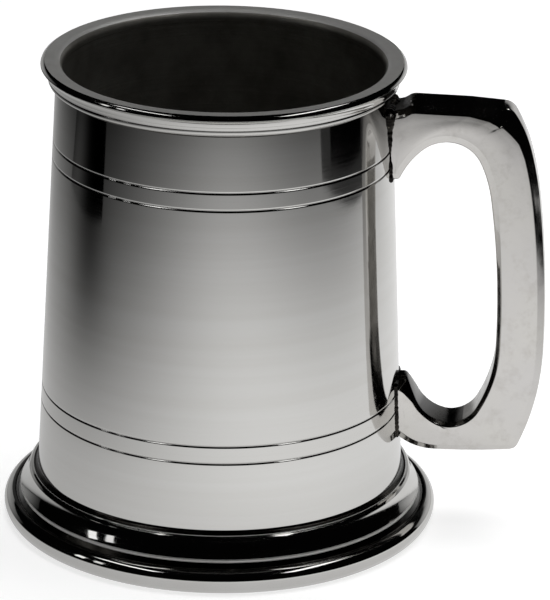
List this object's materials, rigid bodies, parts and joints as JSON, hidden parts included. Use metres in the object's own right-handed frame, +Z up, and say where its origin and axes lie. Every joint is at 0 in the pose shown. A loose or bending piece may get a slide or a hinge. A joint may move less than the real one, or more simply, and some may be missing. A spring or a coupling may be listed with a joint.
{
  "type": "pewter tankard",
  "caption": "Open-topped drinking tankard with a tapered round barrel, engraved lines, a rolled lip, a flared moulded foot and an angular loop handle.",
  "frame": {"origin": "on the barrel's axis, in the plane the foot rests on", "axes": "+Z up along the barrel's axis, out of the mouth; +X from the axis out through the middle of the handle; +Y completes the right-handed frame"},
  "size_m": [0.1357, 0.1094, 0.12],
  "materials": {
    "brushed_pewter": "fine circumferential satin brushing",
    "polished_pewter": "mirror polished",
    "cast_pewter": "hand-polished casting with faint mottling",
    "solder": "dull tarnished solder"
  },
  "bodies": {
    "root": {"barrel": "brushed_pewter", "lip_ring": "polished_pewter", "foot_ring": "polished_pewter", "floor_disc": "brushed_pewter", "handle": "cast_pewter", "upper_handle_solder": "solder", "lower_handle_solder": "solder", "lip_solder": "solder", "foot_solder": "solder", "floor_solder": "solder"}
  },
  "joints": []
}
